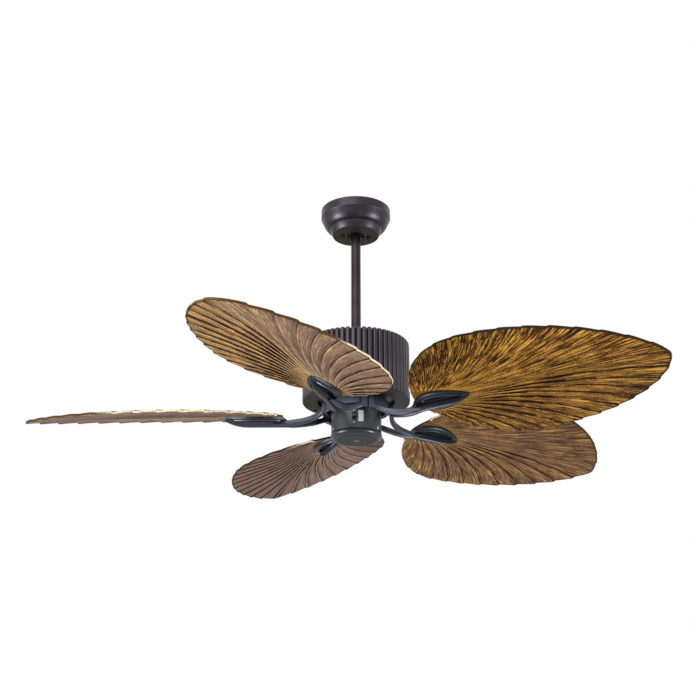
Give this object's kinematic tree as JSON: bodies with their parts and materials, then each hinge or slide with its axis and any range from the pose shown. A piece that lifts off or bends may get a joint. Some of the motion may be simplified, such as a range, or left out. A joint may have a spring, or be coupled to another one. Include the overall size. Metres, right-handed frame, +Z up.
{
  "type": "ceiling fan",
  "caption": "Ceiling fan with a domed canopy, a rod, a fluted drum motor housing and palm-leaf blades on forked arms with leaf-shaped holders.",
  "frame": {"origin": "centre of the hanger bracket's top face, where it meets the ceiling", "axes": "+Z up along the rod towards the ceiling; -Y towards the reversing switch; the first blade is 36 degrees from +X towards +Y"},
  "size_m": [1.2025, 1.2556, 0.5082],
  "materials": {
    "bronze_paint": "satin dark bronze paint on spun and drawn steel",
    "bronze_casting": "satin dark bronze paint on an aluminium casting",
    "arm_paint": "satin near-black paint on castings",
    "screw_black": "blackened steel",
    "plated_steel": "bright zinc plating",
    "bare_steel": "ground steel",
    "zinc_casting": "as cast",
    "lamination": "stacked electrical steel",
    "copper": "enamelled copper wire",
    "black_plastic": "moulded, matte",
    "white_plastic": "moulded, matte",
    "plate_print": "plain plate",
    "lead_insulation": "cable insulation",
    "cap_plug": "antique brass colour",
    "leaf": "moulded palm leaf, brown with golden grain"
  },
  "bodies": {
    "ceiling_mount": {"hanger_bracket": "plated_steel", "canopy": "bronze_paint", "canopy_screws": "screw_black", "receiver_box": "white_plastic"},
    "suspension": {"hanger_ball": "zinc_casting", "ball_cross_pin": "bare_steel", "ball_set_screw": "bare_steel", "downrod": "bronze_paint", "lead_bundle": "lead_insulation", "coupling_cover": "bronze_paint", "coupling": "zinc_casting", "clevis_pin": "plated_steel", "hairpin_clip": "plated_steel", "coupling_set_screws": "bare_steel", "motor_shaft": "bare_steel", "stator_core": "lamination", "stator_windings": "copper", "upper_inner_ring": "bare_steel", "lower_inner_ring": "bare_steel", "motor_housing": "bronze_casting", "housing_top_screws": "screw_black", "base_plate": "bronze_casting", "base_plate_screws": "screw_black", "switch_housing": "bronze_paint", "shaft_nut": "plated_steel", "capacitor": "white_plastic", "switch_body": "black_plastic", "switch_screws": "plated_steel", "switch_plate": "plate_print", "bottom_cap": "bronze_paint", "cap_screws": "plated_steel", "cap_plug": "cap_plug"},
    "rotor": {"rotor_ring": "lamination", "rotor_top_cover": "zinc_casting", "rotor_bottom_cover": "arm_paint", "rotor_bolts": "plated_steel", "upper_outer_ring": "bare_steel", "lower_outer_ring": "bare_steel", "flywheel": "arm_paint", "flywheel_screws": "plated_steel", "arm_screws": "screw_black", "blade_screws": "screw_black", "blade_arm_1": "arm_paint", "blade_arm_2": "arm_paint", "blade_arm_3": "arm_paint", "blade_arm_4": "arm_paint", "blade_arm_5": "arm_paint", "leaf_blade_1": "leaf", "leaf_blade_2": "leaf", "leaf_blade_3": "leaf", "leaf_blade_4": "leaf", "leaf_blade_5": "leaf"},
    "upper_cage": {"upper_ball_cage": "bare_steel"},
    "lower_cage": {"lower_ball_cage": "bare_steel"},
    "slider": {"switch_slider": "black_plastic"}
  },
  "joints": [
    {"name": "hang_swing", "type": "hinge", "parent": "ceiling_mount", "child": "suspension", "pos_m": [0, 0, -0.036], "axis": [0.9903, 0.1392, 0], "range_deg": [-15, 15]},
    {"name": "rotor_spin", "type": "hinge", "parent": "suspension", "child": "rotor", "pos_m": [0, 0, -0.395], "axis": [0, 0, 1], "continuous": true},
    {"name": "upper_cage_spin", "type": "hinge", "parent": "suspension", "child": "upper_cage", "pos_m": [0, 0, -0.36], "axis": [0, 0, 1], "continuous": true},
    {"name": "lower_cage_spin", "type": "hinge", "parent": "suspension", "child": "lower_cage", "pos_m": [0, 0, -0.42], "axis": [0, 0, 1], "continuous": true},
    {"name": "reverse_slide", "type": "slide", "parent": "suspension", "child": "slider", "axis": [0, 0, 1], "range_m": [-0.005, 0]}
  ],
  "couplings": [
    {"joint": "upper_cage_spin", "follows": "rotor_spin", "ratio": 0.6188},
    {"joint": "lower_cage_spin", "follows": "rotor_spin", "ratio": 0.6188}
  ]
}
